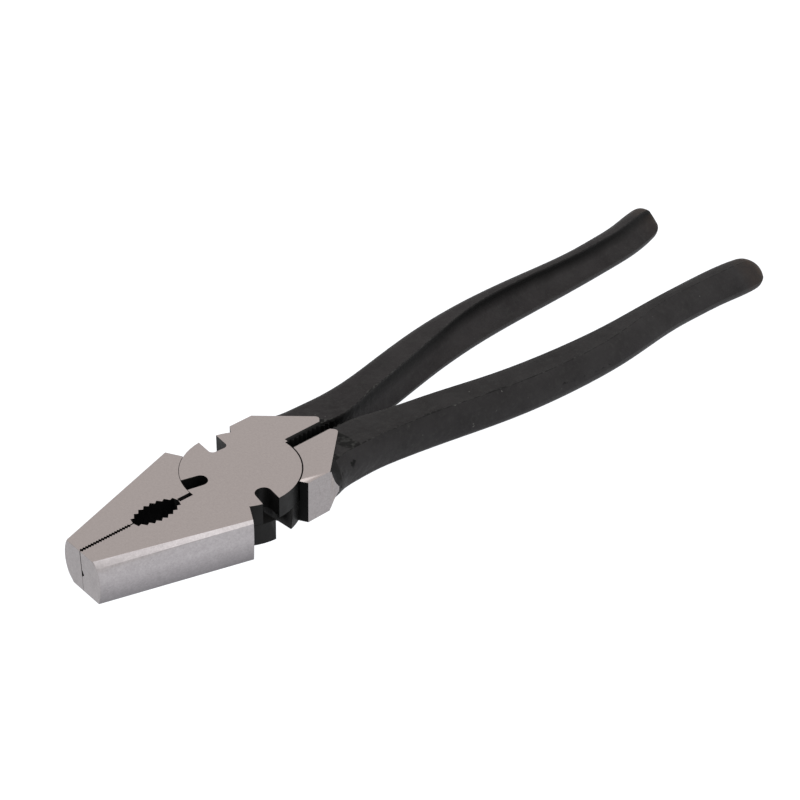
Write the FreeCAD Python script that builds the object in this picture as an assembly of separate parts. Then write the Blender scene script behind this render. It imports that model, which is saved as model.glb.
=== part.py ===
import FreeCAD, Part
import math
import os

from FreeCAD import Vector

# Fencing-type lineman pliers of the 10 inch class, 248 mm long, with the jaws closed.
# Millimetres. +X points to the jaw tip and +Z up through the joint. The origin is on the pivot
# axis, at the underside of the ground head. Both levers are the same forging: a lever is drawn
# with its handle on the -Y side, and the bottom lever is turned half a turn about the X line
# through the middle of the head's thickness. Only the jaws' grinding and the set of the two
# handles differ a little.

# ---- head ----
HEAD_T = 13.3            # thickness of the ground head
MID_Z = HEAD_T / 2
DISC_R = 16.2            # the two half-thickness joint discs
LAP_GAP = 0.10           # between the two discs
JAW_ARC_GAP = 0.15       # between a disc and the other lever's jaw
REAR_ARC_GAP = 0.40      # between a disc and the other lever's shoulder
OVER = 2.0               # how far a cutting tool runs past a face
NEAR = 0.01              # slack when edges are picked by position, and in the rack's cuts

# ---- jaw ----
TIP_X = 50.8
TIP_HALF = 9.0           # the jaw blank is a little wider than its ground side
REAR_X = 11.85           # outer rear corner of the blank
REAR_HALF = 20.3
REAR_ROOT = (8.4, 14.2)  # where a jaw's rear wall meets the disc
BITE_GAP = 0.05          # from the middle line to the closed jaws' land and cutting edges

# ground outer side of each lever's jaw, as (|y|, z) across the tip and across the rear corner:
# top crease, lower end of the narrow flat under it, two poles of the bulge, bottom edge
SIDE_X = {"tip": 51.2, "rear": 11.4}
TOP_SIDE = {"tip": [(5.3, HEAD_T), (6.8, 11.9), (8.5, 8.8), (8.0, 3.2), (6.3, 0.0)],
            "rear": [(18.45, HEAD_T), (19.5, 12.7), (20.2, 10.0), (19.6, 4.0), (18.5, 0.0)]}
LOW_SIDE = {"tip": [(4.3, HEAD_T), (5.9, 11.6), (7.9, 8.6), (7.6, 3.4), (5.6, 0.0)],
            "rear": [(18.35, HEAD_T), (19.4, 12.7), (20.1, 10.0), (19.5, 4.0), (18.35, 0.0)]}

TEETH_FRONT = 50.6       # fine flat teeth
TEETH_REAR = 35.6
TEETH_COUNT = 19
TEETH_DEPTH = 0.45
TEETH_GAP = 0.2          # from the middle line to their crests

PIPE_FRONT = 34.6        # oval pipe grip
PIPE_REAR = 20.4
PIPE_MIDDLE = 27.6
PIPE_RADIUS = 11.33      # of the arc through the bottoms of the grip's teeth
PIPE_HALF = 3.97
PIPE_TEETH = 8
PIPE_PITCH = 1.886
PIPE_DEPTH = 0.95

CUTTER_REAR = 15.7       # wire cutter behind the pipe grip
CUTTER_HALF = 0.68       # half the mouth of the cutter's bevels

# ---- cuts in the rim of a disc ----
SHEAR_END_R = 9.9        # both shear notches reach in to this radius
JAW_NOTCH = {"angle": 80.5, "inner": 4.5, "mouth": 5.0, "corner": 2.2}
HANDLE_NOTCH = {"angle": -94.8, "inner": 5.5, "mouth": 5.5, "corner": 1.4}
THROAT_END_R = 9.5       # relief slot at the root of the cutter
THROAT = {"angle": -14.5, "inner": 4.2, "mouth": 4.6, "corner": 2.05}

# ---- shoulder ----
SHOULDER_ANGLE = -119.5  # where the shoulder's front wall leaves the disc
SHOULDER_FRONT_X = -9.4
SHOULDER_HALF = 16.5     # ground side face
SHOULDER_REAR_X = -17.0
POINT = (-30.9, -4.0)    # rear point of the ground face
POINT_R = 1.2
POINT_END = (-29.4, -2.2)

# ---- toothed slot behind the joint ----
SLOT_HALF = 1.0          # middle line to tooth crest
SLOT_LEDGE_HALF = 2.2    # the same at the ground face, above the sloping ledge
SLOT_LEDGE_DROP = 0.8
LOW_LEDGE_FRONT = -15.2  # the lower ledge starts under the disc, the upper one behind it
RACK_FRONT = -17.6
RACK_PITCH = 1.57
RACK_COUNT = 10
RACK_DEPTH = 0.55
RACK_END = -34.0
RACK_LOWER = 1.2         # how much lower the slot's wall is behind the ground face

# ---- small chip in the top lever's jaw, at the tip ----
CHIP_REAR_X = 50.0
CHIP = [(0.22, 7.3), (1.0, 5.9), (0.0, 4.9)]

# ---- handles ----
COAT = 0.6               # thickness of the dipped coat
COAT_FRONT_X = -21.6
NOSE_X = -197.6
# across the coated handle: x, inner and outer |y|, height, radius of the two round corners (low
# inner, high outer), set-back of the high ridge from the inner side and of the low crease from
# the outer side, and how far both handles are set towards +Y
HANDLE = [
    (-14.0, 2.6, 24.5, 12.6, 1.8, 5.8, 1.0, 3.0, 0.0),
    (-17.0, 2.0, 20.9, 12.6, 1.8, 5.4, 1.0, 3.0, 0.0),
    (-18.0, 1.9, 17.9, 12.6, 1.8, 5.2, 1.0, 3.0, 0.0),
    (-19.0, 1.8, 16.9, 12.5, 1.8, 5.2, 1.0, 3.0, 0.0),
    (-20.3, 1.7, 16.5, 12.5, 1.8, 5.2, 0.9, 2.9, 0.0),
    (-21.8, 1.6, 16.1, 12.4, 1.8, 5.2, 0.8, 2.7, 0.0),
    (-24.5, 1.4, 14.9, 12.3, 1.8, 4.2, 0.7, 2.2, 0.0),
    (-30.0, 1.2, 13.8, 12.2, 1.8, 2.9, 0.6, 1.4, 0.0),
    (-37.0, 0.8, 13.7, 12.0, 1.9, 2.7, 0.7, 1.4, 0.1),
    (-46.0, 2.4, 14.6, 11.9, 2.1, 2.8, 1.3, 1.7, 0.35),
    (-62.0, 5.4, 17.6, 11.8, 2.5, 2.9, 2.4, 2.4, 0.35),
    (-82.0, 9.0, 21.9, 11.4, 3.2, 3.4, 4.2, 3.2, 0.45),
    (-105.0, 11.5, 24.8, 10.8, 3.8, 4.0, 7.2, 3.8, 0.6),
    (-130.0, 12.4, 25.2, 10.2, 4.0, 4.4, 7.8, 5.0, 0.75),
    (-154.0, 12.5, 24.0, 9.8, 4.0, 4.2, 6.6, 6.2, 0.15),
    (-166.0, 12.8, 24.5, 9.6, 4.0, 4.2, 6.6, 6.4, -0.15),
    (-178.0, 13.4, 25.6, 9.5, 4.0, 4.4, 6.8, 6.6, -0.5),
    (-191.0, 15.4, 27.4, 9.4, 4.0, 4.4, 6.6, 6.8, -1.2),
]
HANDLE_REACH = 35.0      # beyond the widest |y| of the handles
QUARTER_RISE = (math.sqrt(2) - 1) / 2        # rise of a quarter circle, as a share of its chord
STEEPEST = 86            # degrees, slope of the hollow inner side where it leaves the ridge
BULGE = 0.10             # rise of the round outer side, as a share of its chord
NOSE_ROUND = 0.17        # rise both sides reach as the end of the handle closes
EDGE_INSET = 0.33        # how fast a ridge or crease moves to the side inside the coat
NOSE_STEPS = 5
NOSE_CLOSE = 86          # degrees round the half ellipse at the last section, 90 is a point

# ---- pivot ----
RIVET_R = 4.0
RIVET_HEAD_R = 6.0
RUNNING_FIT = 0.04


# ---------------------------------------------------------------- drawing helpers
def flat(points, z=0.0):
    return [Vector(x, y, z) for x, y in points]


def prism(points, low, high):
    """Upright solid on a closed plan outline of straight edges."""
    corners = flat(points, low)
    wire = Part.makePolygon(corners + corners[:1])
    return Part.Face(wire).extrude(Vector(0, 0, high - low))


def polar(radius, degrees):
    angle = math.radians(degrees)
    return radius * math.cos(angle), radius * math.sin(angle)


def cylinder(radius, low, high):
    return Part.makeCylinder(radius, high - low, Vector(0, 0, low))


def box(x_range, y_range, z_range):
    sizes = [high - low for low, high in (x_range, y_range, z_range)]
    return Part.makeBox(*sizes, Vector(x_range[0], y_range[0], z_range[0]))


def bar_along_x(profile, x_range):
    """Solid with a (y, z) outline, running along X."""
    corners = [Vector(x_range[0], y, z) for y, z in profile]
    wire = Part.makePolygon(corners + corners[:1])
    return Part.Face(wire).extrude(Vector(x_range[1] - x_range[0], 0, 0))


def rim_slot(shape, end_radius, low, high):
    """Round-cornered slot that runs in from the rim of a disc."""
    inner, mouth, corner = shape["inner"] / 2, shape["mouth"] / 2, shape["corner"]
    outside = DISC_R + OVER
    body = prism([(end_radius, -inner), (end_radius, inner), (outside, mouth), (outside, -mouth)],
                 low, high)
    inner_edges = [edge for edge in body.Edges
                   if edge.BoundBox.ZLength > OVER and edge.BoundBox.XMax < end_radius + NEAR]
    body = body.makeFillet(corner, inner_edges)
    body.rotate(Vector(0, 0, 0), Vector(0, 0, 1), shape["angle"])
    return body


# ---------------------------------------------------------------- jaw
def fine_teeth():
    """Crests and valleys of the flat teeth, from the tip backwards."""
    pitch = (TEETH_FRONT - TEETH_REAR) / TEETH_COUNT
    points = [(TEETH_FRONT, BITE_GAP)]
    for tooth in range(TEETH_COUNT):
        x = TEETH_FRONT - tooth * pitch
        points += [(x, TEETH_GAP), (x - pitch / 2, TEETH_GAP + TEETH_DEPTH)]
    return points + [(TEETH_REAR, TEETH_GAP)]


def pipe_teeth():
    """Crests and valleys round the oval grip, from its front end backwards."""
    points = [(PIPE_FRONT, TEETH_GAP)]
    for step in range(1, 2 * PIPE_TEETH):
        along = PIPE_PITCH / 2 * (PIPE_TEETH - step)
        rise = math.sqrt(PIPE_RADIUS ** 2 - along ** 2) - PIPE_RADIUS
        crest = PIPE_DEPTH * ((step + 1) % 2)
        points.append((PIPE_MIDDLE + along, PIPE_HALF + rise - crest))
    return points + [(PIPE_REAR, BITE_GAP)]


def side_section(side, x):
    """Everything inside a jaw's ground outer side, across the jaw at x."""
    share = (SIDE_X["tip"] - x) / (SIDE_X["tip"] - SIDE_X["rear"])
    crease, flat_end, upper, lower, bottom = [
        Vector(x, front[0] + share * (rear[0] - front[0]), front[1] + share * (rear[1] - front[1]))
        for front, rear in zip(side["tip"], side["rear"])]
    bulge = Part.BezierCurve()
    bulge.setPoles([flat_end, upper, lower, bottom])
    inside_low, inside_top = Vector(x, -REAR_HALF, 0), Vector(x, -REAR_HALF, HEAD_T)
    return Part.Wire([
        Part.makeLine(inside_top, crease),
        Part.makeLine(crease, flat_end),
        bulge.toShape(),
        Part.makeLine(bottom, inside_low),
        Part.makeLine(inside_low, inside_top),
    ])


def ground_side(side):
    ends = [side_section(side, x) for x in (TIP_X + OVER, REAR_ROOT[0] - OVER)]
    return Part.makeLoft(ends, True, True)


def cutter_bevels():
    """Two wedges that leave a cutting edge at the middle of the thickness."""
    x_range = (CUTTER_REAR, PIPE_REAR)
    top = bar_along_x([(-OVER, HEAD_T), (CUTTER_HALF, HEAD_T), (BITE_GAP, MID_Z), (-OVER, MID_Z)],
                      x_range)
    low = bar_along_x([(-OVER, 0), (CUTTER_HALF, 0), (BITE_GAP, MID_Z), (-OVER, MID_Z)], x_range)
    return top.fuse(low)


def jaw(side):
    root_x = DISC_R / 2
    outline = [(TIP_X, BITE_GAP)] + fine_teeth() + pipe_teeth()
    outline += [(root_x, BITE_GAP), (root_x, DISC_R / 2), REAR_ROOT, (REAR_X, REAR_HALF),
                (TIP_X, TIP_HALF)]
    solid = prism(outline, 0, HEAD_T).common(ground_side(side)).cut(cutter_bevels())
    return solid.cut(cylinder(DISC_R + JAW_ARC_GAP, -OVER, MID_Z + LAP_GAP / 2))


# ---------------------------------------------------------------- handle
def bowed(x, start, end, share):
    """Arc between two (y, z) points that rises to the left of its chord."""
    across, up = end[0] - start[0], end[1] - start[1]
    middle = Vector(x, (start[0] + end[0]) / 2 - share * up, (start[1] + end[1]) / 2 + share * across)
    return Part.Arc(Vector(x, *start), middle, Vector(x, *end)).toShape()


def hollow_share(ridge, foot):
    """Rise of the hollow side: it starts at its steepest, or ends level where it is wider."""
    slope = math.atan2(ridge[1] - foot[1], foot[0] - ridge[0])
    turn = min(slope, math.radians(STEEPEST) - slope)
    return math.tan(turn / 2) / 2


def section(station, inset, bend, rounded=0.0):
    """Outline across a handle on the -Y side, inside the coat with an inset, round when rounded."""
    x, inner, outer, height, low_round, high_round, ridge, crease, shift = station
    y_in, y_out = bend * shift - inner - inset, bend * shift - outer + inset
    low, high = MID_Z - height / 2 + inset, MID_Z + height / 2 - inset
    low_round, high_round = low_round - inset, high_round - inset
    corners = [(y_in, low + low_round), (y_in - low_round, low), (y_out + crease - inset * EDGE_INSET, low),
               (y_out, high - high_round), (y_out + high_round, high),
               (y_in - ridge + inset * EDGE_INSET, high)]
    hollow = NOSE_ROUND * rounded - hollow_share(corners[5], corners[0]) * (1 - rounded)
    bulge = NOSE_ROUND * rounded + BULGE * (1 - rounded)
    return Part.Wire([
        bowed(x, corners[0], corners[1], QUARTER_RISE),
        Part.makeLine(Vector(x, *corners[1]), Vector(x, *corners[2])),
        bowed(x, corners[2], corners[3], bulge),
        bowed(x, corners[3], corners[4], QUARTER_RISE),
        Part.makeLine(Vector(x, *corners[4]), Vector(x, *corners[5])),
        bowed(x, corners[5], corners[0], hollow),
    ])


def nose_sections(inset, bend):
    """Sections that close the end of the handle like half an ellipse."""
    last, previous = HANDLE[-1], HANDLE[-2]
    middle, half = (last[1] + last[2]) / 2, (last[2] - last[1]) / 2
    run = last[0] - previous[0]
    slope = (middle - (previous[1] + previous[2]) / 2) / run
    bend_slope = (last[8] - previous[8]) / run
    sections = []
    for step in range(1, NOSE_STEPS + 1):
        angle = math.radians(NOSE_CLOSE) * step / NOSE_STEPS
        along = -(last[0] - NOSE_X - inset) * math.sin(angle)
        shrink = math.cos(angle)
        reach = (half - inset) * shrink
        centre = middle + slope * along
        sizes = [(last[3] - 2 * inset) * shrink]
        sizes += [(corner - inset) * shrink for corner in last[4:6]]
        sizes += [(edge - inset * EDGE_INSET) * shrink for edge in last[6:8]]
        station = (last[0] + along, centre - reach, centre + reach, *sizes, last[8] + bend_slope * along)
        sections.append(section(station, 0.0, bend, 1 - shrink))
    return sections


def handle_body(inset, bend):
    wires = [section(station, inset, bend) for station in HANDLE]
    body = Part.makeLoft(wires + nose_sections(inset, bend), True, False)
    keep = box((NOSE_X - OVER, 0), (-SHOULDER_HALF, 0), (0, HEAD_T))
    behind = box((NOSE_X - OVER, POINT[0]), (-HANDLE_REACH, 0), (0, HEAD_T))
    return body.common(keep.fuse(behind))


def shoulder_outline():
    return [polar(DISC_R, SHOULDER_ANGLE), (SHOULDER_FRONT_X, -SHOULDER_HALF),
            (SHOULDER_REAR_X, -SHOULDER_HALF), POINT, POINT_END, (POINT_END[0], -SLOT_HALF),
            (-DISC_R / 2, -SLOT_HALF), (-DISC_R / 4, -DISC_R / 2)]


def shoulder_block(low, high):
    block = prism(shoulder_outline(), low, high)
    point_edges = [edge for edge in block.Edges
                   if edge.BoundBox.ZLength > OVER and abs(edge.BoundBox.XMin - POINT[0]) < NEAR]
    return block.makeFillet(POINT_R, point_edges)


def slot_wall():
    """Toothed inner wall that carries on behind the ground face."""
    return box((RACK_END, -DISC_R), (-DISC_R / 3, -SLOT_HALF), (RACK_LOWER, HEAD_T - RACK_LOWER))


def rack_grooves():
    grooves = []
    for tooth in range(RACK_COUNT):
        x = RACK_FRONT - tooth * RACK_PITCH
        outline = [(x, -SLOT_HALF + NEAR), (x - RACK_PITCH / 2, -SLOT_HALF - RACK_DEPTH),
                   (x - RACK_PITCH, -SLOT_HALF + NEAR)]
        grooves.append(prism(outline, -OVER, HEAD_T + OVER))
    return Part.makeCompound(grooves)


def slot_ledges():
    """Sloping ledges along the upper and lower edges of the slot."""
    rear = RACK_END - OVER
    top = bar_along_x([(-SLOT_LEDGE_HALF, HEAD_T), (-SLOT_HALF, HEAD_T - SLOT_LEDGE_DROP),
                       (OVER, HEAD_T - SLOT_LEDGE_DROP), (OVER, HEAD_T)],
                      (rear, SHOULDER_REAR_X))
    low = bar_along_x([(-SLOT_LEDGE_HALF, 0), (-SLOT_HALF, SLOT_LEDGE_DROP),
                       (OVER, SLOT_LEDGE_DROP), (OVER, 0)], (rear, LOW_LEDGE_FRONT))
    return top.fuse(low)


def rear_half(bend):
    bare = box((COAT_FRONT_X, 0), (-SHOULDER_HALF, 0), (0, HEAD_T))
    body = shoulder_block(0, HEAD_T).fuse(
        [slot_wall(), handle_body(COAT, bend), handle_body(0.0, bend).common(bare)])
    body = body.cut(slot_ledges()).cut(rack_grooves())
    return body.cut(cylinder(DISC_R + REAR_ARC_GAP, -OVER, MID_Z + LAP_GAP / 2))


# ---------------------------------------------------------------- pivot
def rivet(clearance):
    """Countersunk at both ends and ground flush."""
    head = RIVET_HEAD_R - RIVET_R
    shank = cylinder(RIVET_R + clearance, 0, HEAD_T)
    low = Part.makeCone(RIVET_HEAD_R + clearance, RIVET_R + clearance, head)
    top = Part.makeCone(RIVET_R + clearance, RIVET_HEAD_R + clearance, head,
                        Vector(0, 0, HEAD_T - head))
    return shank.fuse([low, top]).removeSplitter()


# ---------------------------------------------------------------- levers and coats
def half_turn(shape):
    turned = shape.copy()
    turned.rotate(Vector(0, 0, MID_Z), Vector(1, 0, 0), 180)
    return turned


def lever(rivet_clearance, side, bend):
    disc = cylinder(DISC_R, MID_Z + LAP_GAP / 2, HEAD_T)
    body = jaw(side).fuse([disc, rear_half(bend)])
    for shape, end_radius in ((JAW_NOTCH, SHEAR_END_R), (HANDLE_NOTCH, SHEAR_END_R),
                              (THROAT, THROAT_END_R)):
        body = body.cut(rim_slot(shape, end_radius, MID_Z - LAP_GAP, HEAD_T + OVER))
    return body.cut(rivet(rivet_clearance)).removeSplitter()


def chip():
    """Uneven gap at the front of the closed jaws, open upwards."""
    top = HEAD_T + OVER
    profile = [(-OVER, CHIP[-1][1]), (-OVER, top), (CHIP[0][0], top)] + CHIP
    return bar_along_x(profile, (CHIP_REAR_X, TIP_X + OVER))


def coat(steel, bend):
    coated = box((NOSE_X - OVER, COAT_FRONT_X), (-HANDLE_REACH, 0), (-OVER, HEAD_T + OVER))
    body = handle_body(0.0, bend).common(coated).cut(shoulder_block(-OVER, HEAD_T + OVER))
    slot = box((RACK_END, 0), (-SLOT_HALF, OVER), (-OVER, HEAD_T + OVER))
    return body.cut(slot).cut(rack_grooves()).cut(steel)


def main():
    os.makedirs("parts", exist_ok=True)
    top_lever = lever(0.0, TOP_SIDE, 1).cut(chip())
    low_lever = lever(RUNNING_FIT, LOW_SIDE, -1)
    nodes = {
        "top_lever": top_lever,
        "bottom_lever": half_turn(low_lever),
        "pivot_rivet": rivet(0.0),
        "top_lever_grip": coat(top_lever, 1),
        "bottom_lever_grip": half_turn(coat(low_lever, -1)),
    }
    for name, shape in nodes.items():
        print(name, "solids", len(shape.Solids), "valid", shape.isValid(),
              "volume", round(shape.Volume, 1), "faces", len(shape.Faces))
        shape.exportStep("parts/" + name + ".step")


main()
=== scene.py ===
import bisect
import math

import bmesh
import bpy
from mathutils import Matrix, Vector


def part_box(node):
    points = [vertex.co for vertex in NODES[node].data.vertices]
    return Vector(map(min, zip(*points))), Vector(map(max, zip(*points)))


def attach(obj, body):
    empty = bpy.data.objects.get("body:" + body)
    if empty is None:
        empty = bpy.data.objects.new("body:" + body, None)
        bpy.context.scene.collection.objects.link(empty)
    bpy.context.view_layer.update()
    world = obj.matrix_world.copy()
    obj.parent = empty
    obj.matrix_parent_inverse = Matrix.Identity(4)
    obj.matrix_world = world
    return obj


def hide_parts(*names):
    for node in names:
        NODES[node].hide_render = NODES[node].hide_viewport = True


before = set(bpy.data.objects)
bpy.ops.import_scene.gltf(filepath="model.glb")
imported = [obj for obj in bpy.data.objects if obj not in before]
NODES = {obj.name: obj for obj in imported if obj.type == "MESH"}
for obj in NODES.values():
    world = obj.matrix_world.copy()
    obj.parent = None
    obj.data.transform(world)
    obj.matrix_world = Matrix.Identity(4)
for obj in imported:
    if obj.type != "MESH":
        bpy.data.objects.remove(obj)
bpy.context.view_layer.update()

MM = 0.001
CM = 10 * MM
HEAD_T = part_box("pivot_rivet")[1].z          # the head's ground faces are at z = 0 and here
TIP_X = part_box("top_lever")[1].x

# the head, in metres, from the CAD source
DISC_R = 16.2 * MM
RIVET_HEAD_R = 6.0 * MM
JAW_ROOT_X = 8.4 * MM
SIDE_AT_TIP = 3.8 * MM                       # a jaw's ground side lies outside this line in plan
SIDE_SLOPE = 0.31
BITE_HALF = 4.6 * MM                         # half the width of the jaws' toothed middle
SHOULDER_HALF = 16.5 * MM
SHOULDER_X = (-24.0 * MM, -9.4 * MM)
SHOULDER_ROOT = 13.5 * MM                    # |y| where the shoulder's front wall begins
SHOULDER_WALL = 1.5 * MM                     # and how far its faces lie from its plane
POINT_X = -30.9 * MM
RACK_HALF = 1.9 * MM                         # the toothed walls of the slot lie inside this |y|
RACK_WALL_HALF = 2.6 * MM                    # the same with the teeth's roots
SLIT_HALF = 1.5 * MM                         # the slit at the tip lies inside this |y|
NEAR = 0.03 * MM                             # how close a face lies to the plane it belongs to

# edges of the steel levers
SMOOTH_BELOW = 40                            # degrees between faces that shade as one
SHARP_FROM = 28                              # degrees from which an edge counts as sharp
FLAT_FROM = 7                                # the same for the end of the jaws' narrow flats
TIP_BEVEL = 0.4 * MM
FLAT_BEVEL = 0.6 * MM
WORN_BREAK = 0.1 * MM
RIM_SPARED = 0.5 * MM                        # the discs' and the rivet's rims keep this much sharp

# shares of a face's normal along an axis
LEVEL = 0.99                                 # along z: the least that a level face has
STEEP = 0.96                                 # along z: the most that a face past an edge has
UPRIGHT = 0.3                                # along z: the most that an upright face has
FACING = 0.95                                # the least that a face has if it looks that way
SIDEWAYS = 0.3                               # along y: the least that a sloping side has
HOLLOW_UP = (-0.02, 0.95)                    # along z: the hollow side, from its wall to its foot

# the handles, in metres
COAT_X = -21.6 * MM
END_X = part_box("top_lever_grip")[0].x
WORN_X = END_X + 12 * MM
CROTCH_X = (-60 * MM, -38 * MM)
RIDGE, LINE = "past_ridge", "on_line"        # mesh attributes that the coats' material reads
SCUFF = (0.07, 0.07, 0.066)
MOTTLE = (0.028, 0.028, 0.027)
WORN_END = (0.040, 0.026, 0.018)
# painted shade: the dark band under a handle's ridge
PAINTED_RIDGE_SHADE = (0.0012, 0.0012, 0.0011)
# painted shade of the creases, which the light specks of wear break up
PAINTED_CREASE_SHADE = (0.004, 0.004, 0.004)
BAND_RISE = (0.04, 0.14)                     # where the painted shade band under the ridge starts, in cm
BAND_FALL = (0.25, 0.65)                     # where it fades out again
NO_BAND = -1.0                               # cm past the ridge, for faces that look down

# the room
FLOOR_HALF = 6.0
FLOOR_GAP = 0.05 * MM                        # the tool lies this far over the floor
SUN_FROM = (-0.25, 0.44, 0.86)


# ---------------------------------------------------------------- camera
CAMERA = {
    "azimuth": 45.681, "elevation": 35.581, "roll": 2.090,
    "distance": 27.712 * DISC_R, "right": 2.599 * DISC_R, "up": 1.113 * DISC_R,
    "lens": 76.5, "sensor": 36.0,
}


def add_camera():
    """Camera around the head's upper face, moved off it sideways by right and up."""
    azimuth, elevation, roll = (math.radians(CAMERA[k]) for k in ("azimuth", "elevation", "roll"))
    back = Vector((math.cos(azimuth) * math.cos(elevation),
                   math.sin(azimuth) * math.cos(elevation), math.sin(elevation)))
    level = Vector((0, 0, 1)).cross(back).normalized()
    above = back.cross(level)
    right = math.cos(roll) * level + math.sin(roll) * above
    up = back.cross(right)
    data = bpy.data.cameras.new("camera")
    data.lens, data.sensor_width = CAMERA["lens"], CAMERA["sensor"]
    data.clip_start, data.clip_end = 0.01, 50
    camera = bpy.data.objects.new("camera", data)
    bpy.context.scene.collection.objects.link(camera)
    place = (back * CAMERA["distance"] + right * CAMERA["right"] + up * CAMERA["up"]
             + Vector((0, 0, HEAD_T)))
    matrix = camera.matrix_world.to_3x3()
    matrix.col[0], matrix.col[1], matrix.col[2] = right, up, back
    camera.matrix_world = matrix.to_4x4()
    camera.location = place
    bpy.context.scene.camera = camera


# ---------------------------------------------------------------- floor and light
def add_floor():
    """Pale paper that glows enough to show no shadow."""
    corners = [(x * FLOOR_HALF, y * FLOOR_HALF, 0) for x, y in ((-1, -1), (1, -1), (1, 1), (-1, 1))]
    mesh = bpy.data.meshes.new("floor")
    mesh.from_pydata(corners, [], [(0, 1, 2, 3)])
    floor = bpy.data.objects.new("floor", mesh)
    floor.location.z = -FLOOR_GAP
    bpy.context.scene.collection.objects.link(floor)
    material, shader, tree = new_material("floor_paper")
    shader.inputs["Base Color"].default_value = (0.05, 0.05, 0.05, 1)
    shader.inputs["Roughness"].default_value = 0.9
    shader.inputs["Emission Color"].default_value = (0.965, 0.975, 1.0, 1)
    shader.inputs["Emission Strength"].default_value = 1.08
    mesh.materials.append(material)


def add_light():
    """Even warm room with one broad, soft lamp over the far side."""
    world = bpy.data.worlds.new("studio")
    world.use_nodes = True
    background = world.node_tree.nodes["Background"]
    background.inputs["Color"].default_value = (1.0, 0.975, 0.955, 1)
    background.inputs["Strength"].default_value = 0.95
    bpy.context.scene.world = world
    data = bpy.data.lights.new("softbox", "SUN")
    data.energy = 1.0
    data.angle = math.radians(60)
    lamp = bpy.data.objects.new("softbox", data)
    lamp.rotation_euler = Vector(SUN_FROM).to_track_quat("Z", "Y").to_euler()
    bpy.context.scene.collection.objects.link(lamp)
    bpy.context.scene.view_settings.view_transform = "Standard"


# ---------------------------------------------------------------- materials
def new_material(name):
    """Material with its shader and its node tree."""
    material = bpy.data.materials.new(name)
    material.use_nodes = True
    tree = material.node_tree
    return material, tree.nodes["Principled BSDF"], tree


def node(tree, kind, **values):
    """New node; each value is set on the input of that name, or else on the node itself."""
    made = tree.nodes.new(kind)
    for key, value in values.items():
        if key in made.inputs:
            made.inputs[key].default_value = value
        else:
            setattr(made, key, value)
    return made


def noise(tree, scale, detail=4.0, rough=0.6, stretch=(1, 1, 1)):
    """Noise over the object's own coordinates; scale is features per metre."""
    place = node(tree, "ShaderNodeTexCoord")
    mapping = node(tree, "ShaderNodeMapping")
    mapping.inputs["Scale"].default_value = [scale * s for s in stretch]
    pattern = node(tree, "ShaderNodeTexNoise", Scale=1.0, Detail=detail, Roughness=rough)
    tree.links.new(place.outputs["Object"], mapping.inputs["Vector"])
    tree.links.new(mapping.outputs["Vector"], pattern.inputs["Vector"])
    return pattern.outputs["Fac"]


def ramp(tree, factor, low, high, start=0.3, end=0.7):
    """Value or colour that goes from low to high as factor goes from start to end."""
    made = node(tree, "ShaderNodeMapRange")
    made.inputs["From Min"].default_value, made.inputs["From Max"].default_value = start, end
    tree.links.new(factor, made.inputs["Value"])
    if not hasattr(low, "__len__"):
        made.inputs["To Min"].default_value, made.inputs["To Max"].default_value = low, high
        return made.outputs["Result"]
    mix = node(tree, "ShaderNodeMix", data_type="RGBA")
    mix.inputs[6].default_value, mix.inputs[7].default_value = (*low, 1), (*high, 1)
    tree.links.new(made.outputs["Result"], mix.inputs[0])
    return mix.outputs[2]


def multiply(tree, first, second):
    made = node(tree, "ShaderNodeMath", operation="MULTIPLY")
    tree.links.new(first, made.inputs[0])
    tree.links.new(second, made.inputs[1])
    return made.outputs[0]


def bump(tree, shader, height, strength, distance):
    made = node(tree, "ShaderNodeBump", Strength=strength, Distance=distance)
    tree.links.new(height, made.inputs["Height"])
    tree.links.new(made.outputs["Normal"], shader.inputs["Normal"])


def add_up(tree, first, second, weight):
    """The first value plus the second one times its weight."""
    made = node(tree, "ShaderNodeMath", operation="MULTIPLY_ADD")
    made.inputs[1].default_value = weight
    tree.links.new(second, made.inputs[0])
    tree.links.new(first, made.inputs[2])
    return made.outputs[0]


def coordinate(tree, axis):
    """One of the object's own coordinates, in metres."""
    place = node(tree, "ShaderNodeTexCoord")
    split = node(tree, "ShaderNodeSeparateXYZ")
    tree.links.new(place.outputs["Object"], split.inputs["Vector"])
    return split.outputs[axis]


def blend(tree, factor, first, second, mode="MIX"):
    """Colours mixed by factor; each is a colour or the output of a node."""
    mix = node(tree, "ShaderNodeMix", data_type="RGBA", blend_type=mode)
    tree.links.new(factor, mix.inputs[0])
    for index, colour in ((6, first), (7, second)):
        if hasattr(colour, "is_output"):
            tree.links.new(colour, mix.inputs[index])
        else:
            mix.inputs[index].default_value = (*colour, 1)
    return mix.outputs[2]


def ground_steel(name, dark, light, stretch, grit, painted_low_shade=None):
    """Satin ground steel; the optional last colour multiplies its lowest part, darkening the lower
    side as painted shade of the floor's shadow.
    """
    material, shader, tree = new_material(name)
    shader.inputs["Metallic"].default_value = 1.0
    grain = noise(tree, 1800, 5.0, 0.7)
    brush = noise(tree, 600, 4.0, 0.7, stretch)
    cloud = noise(tree, 60, 3.0, 0.5)
    mixed = add_up(tree, grain, brush, 0.5)
    colour = ramp(tree, mixed, dark, light, 0.45, 1.05)
    # painted shade: darker towards the bottom, as if the lower side reflected the floor's shadow
    if painted_low_shade:
        height = ramp(tree, coordinate(tree, "Z"), 1.0, 0.0, 0.0, 0.62 * HEAD_T)
        colour = blend(tree, height, colour, painted_low_shade, "MULTIPLY")
    tree.links.new(colour, shader.inputs["Base Color"])
    tree.links.new(ramp(tree, cloud, 0.36, 0.44), shader.inputs["Roughness"])
    bump(tree, shader, mixed, grit, 0.03 * MM)
    return material


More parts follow.
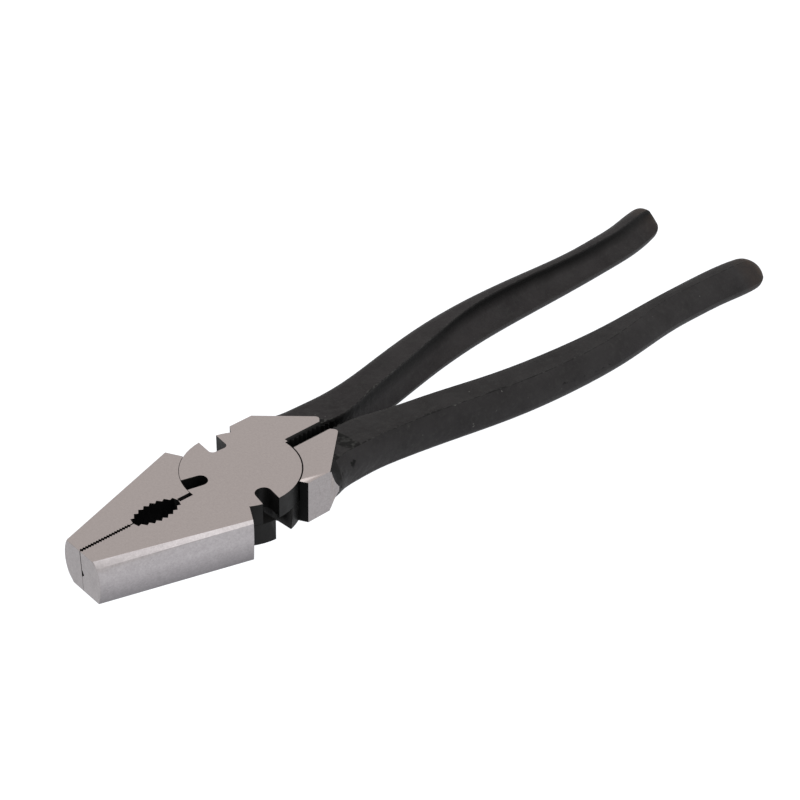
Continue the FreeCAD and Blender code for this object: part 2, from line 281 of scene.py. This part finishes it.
def black_oxide(name, dark, light, gloss):
    """Forging scale; gloss is its specular level. A darker, duller copy of it serves as painted
    shade in the recesses.
    """
    material, shader, tree = new_material(name)
    shader.inputs["Specular IOR Level"].default_value = gloss
    grain = noise(tree, 900, 5.0, 0.7)
    cloud = noise(tree, 120, 4.0, 0.6)
    tree.links.new(ramp(tree, cloud, dark, light), shader.inputs["Base Color"])
    tree.links.new(ramp(tree, grain, 0.38, 0.55), shader.inputs["Roughness"])
    bump(tree, shader, grain, 0.3, 0.06 * MM)
    return material


def dipped_coat(name, dark, light, line_light):
    """Black dipped coat: painted shade in a band under its ridge, a painted crease shade broken by
    light scuffs along its edges, and brown wear at its end.
    """
    material, shader, tree = new_material(name)
    shader.inputs["Specular IOR Level"].default_value = 0.08
    grain = noise(tree, 1300, 5.0, 0.7)
    dents = noise(tree, 420, 2.0, 0.5)
    cloud = noise(tree, 90, 5.0, 0.65)
    specks = noise(tree, 900, 1.0, 0.4)
    mottle = noise(tree, 600, 3.0, 0.7)
    along = coordinate(tree, "X")
    colour = ramp(tree, cloud, dark, light)
    colour = blend(tree, ramp(tree, specks, 0.0, 1.0, 0.78, 0.83), colour, SCUFF)
    colour = blend(tree, ramp(tree, mottle, 0.0, 0.7, 0.5, 0.75), colour, MOTTLE)
    worn = multiply(tree, ramp(tree, along, 1.0, 0.0, END_X, WORN_X),
                    ramp(tree, cloud, 0.2, 1.0, 0.4, 0.6))
    colour = blend(tree, worn, colour, WORN_END)
    # painted shade: a dark band just under the ridge, where a step down would lie in shade
    past = node(tree, "ShaderNodeAttribute", attribute_name=RIDGE)
    past = add_up(tree, past.outputs["Fac"], cloud, 0.1)
    band = multiply(tree, ramp(tree, past, 0.0, 1.0, *BAND_RISE),
                    ramp(tree, past, 1.0, 0.0, *BAND_FALL))
    colour = blend(tree, band, colour, PAINTED_RIDGE_SHADE)
    # painted shade: a dark line where a flat face ends at a ridge or crease, broken by light worn
    # specks
    line = node(tree, "ShaderNodeAttribute", attribute_name=LINE)
    edge = ramp(tree, line.outputs["Fac"], 0.0, 1.0, 0.88, 0.97)
    crease_shade_and_scuffs = ramp(tree, specks, PAINTED_CREASE_SHADE, line_light, 0.45, 0.75)
    colour = blend(tree, edge, colour, crease_shade_and_scuffs)
    tree.links.new(colour, shader.inputs["Base Color"])
    tree.links.new(ramp(tree, grain, 0.42, 0.6), shader.inputs["Roughness"])
    lumps = multiply(tree, dents, ramp(tree, along, 1.0, 12.0, *CROTCH_X))
    bump(tree, shader, add_up(tree, grain, lumps, 0.8), 0.35, 0.08 * MM)
    return material


# ---------------------------------------------------------------- steel levers
GROUND, SIDE, STREAKED, OXIDE, PIT_SHADE = range(5)


def finish_of(face):
    """Which of the steel's finishes, or the painted shade of its recesses, a face of a lever has.
    """
    middle, normal = face.calc_center_median(), face.normal
    out = abs(normal.y) * math.copysign(1, normal.y * middle.y)
    upright = abs(normal.z) < UPRIGHT
    level = min(abs(middle.z), abs(middle.z - HEAD_T)) < NEAR and abs(normal.z) > LEVEL
    if level and middle.x > POINT_X:
        return GROUND
    if normal.x > FACING and middle.x > TIP_X - NEAR:
        return STREAKED
    beyond = abs(middle.y) > SIDE_AT_TIP + SIDE_SLOPE * (TIP_X - middle.x)
    if middle.x > JAW_ROOT_X and beyond and out > SIDEWAYS and normal.x > -SIDEWAYS:
        return SIDE
    if abs(abs(middle.y) - SHOULDER_HALF) < NEAR and out > FACING:
        if SHOULDER_X[0] < middle.x < SHOULDER_X[1] + NEAR:
            return STREAKED
    in_bite = middle.x > DISC_R and abs(middle.y) < BITE_HALF
    in_slot = middle.x < -DISC_R / 2 and abs(middle.y) < RACK_HALF and upright
    at_shoulder = abs(middle.x - SHOULDER_X[1]) < SHOULDER_WALL and abs(middle.y) > SHOULDER_ROOT
    # painted shade: faces in the bite, the slot and at the shoulder's wall get the darker, duller
    # oxide that stands in for their shade
    if in_bite or in_slot or (at_shoulder and upright):
        return PIT_SHADE
    return OXIDE


def middle_of(edge):
    return (edge.verts[0].co + edge.verts[1].co) / 2


def is_sharp(edge):
    return edge.is_manifold and edge.calc_face_angle() > math.radians(SHARP_FROM)


def on_tip(edge):
    """The outline of a jaw's front face, apart from the slit between the jaws."""
    middle = middle_of(edge)
    front = all(v.co.x > TIP_X - 0.02 * MM for v in edge.verts)
    return is_sharp(edge) and front and abs(middle.y) > SLIT_HALF


def under_flat(edge):
    """The lower end of the narrow flat along a jaw's outer side."""
    sides = [face for face in edge.link_faces if face.material_index == SIDE]
    long = edge.calc_length() > 2 * MM
    if len(sides) < 2 or not long or middle_of(edge).x > TIP_X - MM:
        return False
    return edge.calc_face_angle() > math.radians(FLAT_FROM)


def breaks(edge):
    """Whether a sharp edge has the small break of a worn tool."""
    middle = middle_of(edge)
    radius = math.hypot(middle.x, middle.y)
    if not is_sharp(edge) or middle.x < POINT_X or radius < RIVET_HEAD_R + RIM_SPARED:
        return False
    toothed = middle.x > DISC_R and abs(middle.y) < BITE_HALF
    rim = abs(radius - DISC_R) < RIM_SPARED
    racked = middle.x < -DISC_R and abs(middle.y) < RACK_WALL_HALF
    return not (toothed or rim or racked)


def bevel(build, wanted, width, segments):
    """Rounds the edges for which wanted is true."""
    edges = [edge for edge in build.edges if wanted(edge)]
    bmesh.ops.bevel(build, geom=edges, offset=width, offset_type="OFFSET", segments=segments,
                    profile=0.5, affect="EDGES", clamp_overlap=True, material=-1)


def clean_copy(node_name):
    """A node's mesh, welded, with each flat face in one piece."""
    build = bmesh.new()
    build.from_mesh(NODES[node_name].data)
    bmesh.ops.remove_doubles(build, verts=build.verts, dist=1e-6)
    bmesh.ops.dissolve_limit(build, angle_limit=math.radians(0.3), verts=build.verts,
                             edges=build.edges)
    build.normal_update()
    return build


def steel_piece(node_name, materials):
    """Stands in for a lever, with its finishes, its painted shade and its worn edges."""
    build = clean_copy(node_name)
    for face in build.faces:
        face.material_index = finish_of(face)
        face.smooth = True
    bevel(build, on_tip, TIP_BEVEL, 4)
    bevel(build, under_flat, FLAT_BEVEL, 4)
    bevel(build, breaks, WORN_BREAK, 2)
    mesh = bpy.data.meshes.new(node_name + "_steel")
    build.to_mesh(mesh)
    build.free()
    mesh.set_sharp_from_angle(angle=math.radians(SMOOTH_BELOW))
    for material in materials:
        mesh.materials.append(material)
    piece = stand_in(node_name, node_name, mesh)
    weighted = piece.modifiers.new("flats_stay_flat", "WEIGHTED_NORMAL")
    weighted.weight, weighted.keep_sharp = 100, True


def stand_in(node_name, body, mesh):
    """A piece that takes the place of a CAD node."""
    piece = bpy.data.objects.new(mesh.name, mesh)
    bpy.context.scene.collection.objects.link(piece)
    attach(piece, body)
    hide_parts(node_name)
    return piece


# ---------------------------------------------------------------- handles
def is_hollow(face, way):
    """The hollow inner side; way is 1 for the top lever, -1 for the turned bottom lever."""
    inward, up = way * face.normal.y, way * face.normal.z
    return inward > SIDEWAYS and HOLLOW_UP[0] < up < HOLLOW_UP[1] and face.center.x < COAT_X


def is_flat(face):
    """The flat upper or lower face of a handle, but not the level foot of its hollow side."""
    up = face.normal.z
    return abs(up) > LEVEL and up * (face.center.z - HEAD_T / 2) > 0


def corners_of(mesh, face):
    return {mesh.vertices[index].co.to_tuple(6) for index in face.vertices}


def ridge_of(mesh, way):
    """Points, sorted by x, where the hollow side meets the flat face above it."""
    flat, hollow = set(), set()
    for face in mesh.polygons:
        if is_flat(face):
            flat |= corners_of(mesh, face)
        elif is_hollow(face, way):
            hollow |= corners_of(mesh, face)
    return sorted(flat & hollow)


def past_ridge(place, way, ridge):
    """How far a point lies past the ridge, inwards and down, in cm."""
    spot = bisect.bisect_left(ridge, (place.x, 0.0, 0.0))
    after = ridge[min(spot, len(ridge) - 1)]
    before = ridge[max(spot - 1, 0)]
    share = (place.x - before[0]) / max(after[0] - before[0], 1e-6)
    share = min(1.0, max(0.0, share))
    ridge_y, ridge_z = (before[axis] + share * (after[axis] - before[axis]) for axis in (1, 2))
    return way * (place.y - ridge_y + ridge_z - place.z) / CM


def places_on_lines(mesh):
    """Points where a flat face of the handle ends at a ridge or a crease."""
    flat, steep = set(), set()
    for face in mesh.polygons:
        if is_flat(face):
            flat |= corners_of(mesh, face)
        if abs(face.normal.z) < STEEP:
            steep |= corners_of(mesh, face)
    return flat & steep


def coat_piece(node_name, body, way, material):
    """Stands in for a coat, with the two attributes that its material reads."""
    mesh = NODES[node_name].data.copy()
    mesh.name = node_name + "_dip"
    mesh.materials.clear()
    mesh.materials.append(material)
    past = mesh.attributes.new(RIDGE, "FLOAT", "CORNER")
    line = mesh.attributes.new(LINE, "FLOAT", "CORNER")
    on_line = places_on_lines(mesh)
    ridge = ridge_of(mesh, way)
    for face in mesh.polygons:
        face.material_index = 0
        above = way * face.normal.z > -UPRIGHT
        for corner in face.loop_indices:
            place = mesh.vertices[mesh.loops[corner].vertex_index].co
            past.data[corner].value = past_ridge(place, way, ridge) if above else NO_BAND
            line.data[corner].value = float(place.to_tuple(6) in on_line)
    stand_in(node_name, body, mesh)


def paint(node_name, material):
    for entry in NODES[node_name].material_slots:
        entry.material = material


# ---------------------------------------------------------------- making
add_camera()
add_floor()
add_light()
steel = ground_steel("steel_ground", (0.343, 0.308, 0.301), (0.424, 0.383, 0.375), (6, 1, 1),
                     0.25)
# the side steel is painted darker towards its bottom edge as shade
side = ground_steel("steel_side", (0.30, 0.282, 0.288), (0.44, 0.416, 0.423), (1, 1, 1), 0.6,
                    (0.45, 0.45, 0.46))
streaked = ground_steel("steel_streaked", (0.235, 0.218, 0.217), (0.36, 0.335, 0.334),
                        (8, 1, 0.5), 0.4)
oxide = black_oxide("steel_black", (0.003, 0.003, 0.003), (0.008, 0.008, 0.008), 0.13)
# painted shade: the oxide made darker and duller for the recesses, where shade falls
pit_shade = black_oxide("steel_pit", (0.002, 0.002, 0.002), (0.004, 0.004, 0.004), 0.04)
far_coat = dipped_coat("coat_top", (0.0145, 0.0132, 0.0138), (0.0255, 0.0236, 0.0245),
                       (0.05, 0.05, 0.048))
near_coat = dipped_coat("coat_bottom", (0.0145, 0.0137, 0.0142), (0.0240, 0.0229, 0.0237),
                        (0.035, 0.035, 0.034))
# the steel's finishes, with the painted shade of the recesses last
finishes = [steel, side, streaked, oxide, pit_shade]
steel_piece("top_lever", finishes)
steel_piece("bottom_lever", finishes)
coat_piece("top_lever_grip", "top_lever", 1, far_coat)
coat_piece("bottom_lever_grip", "bottom_lever", -1, near_coat)
paint("pivot_rivet", steel)
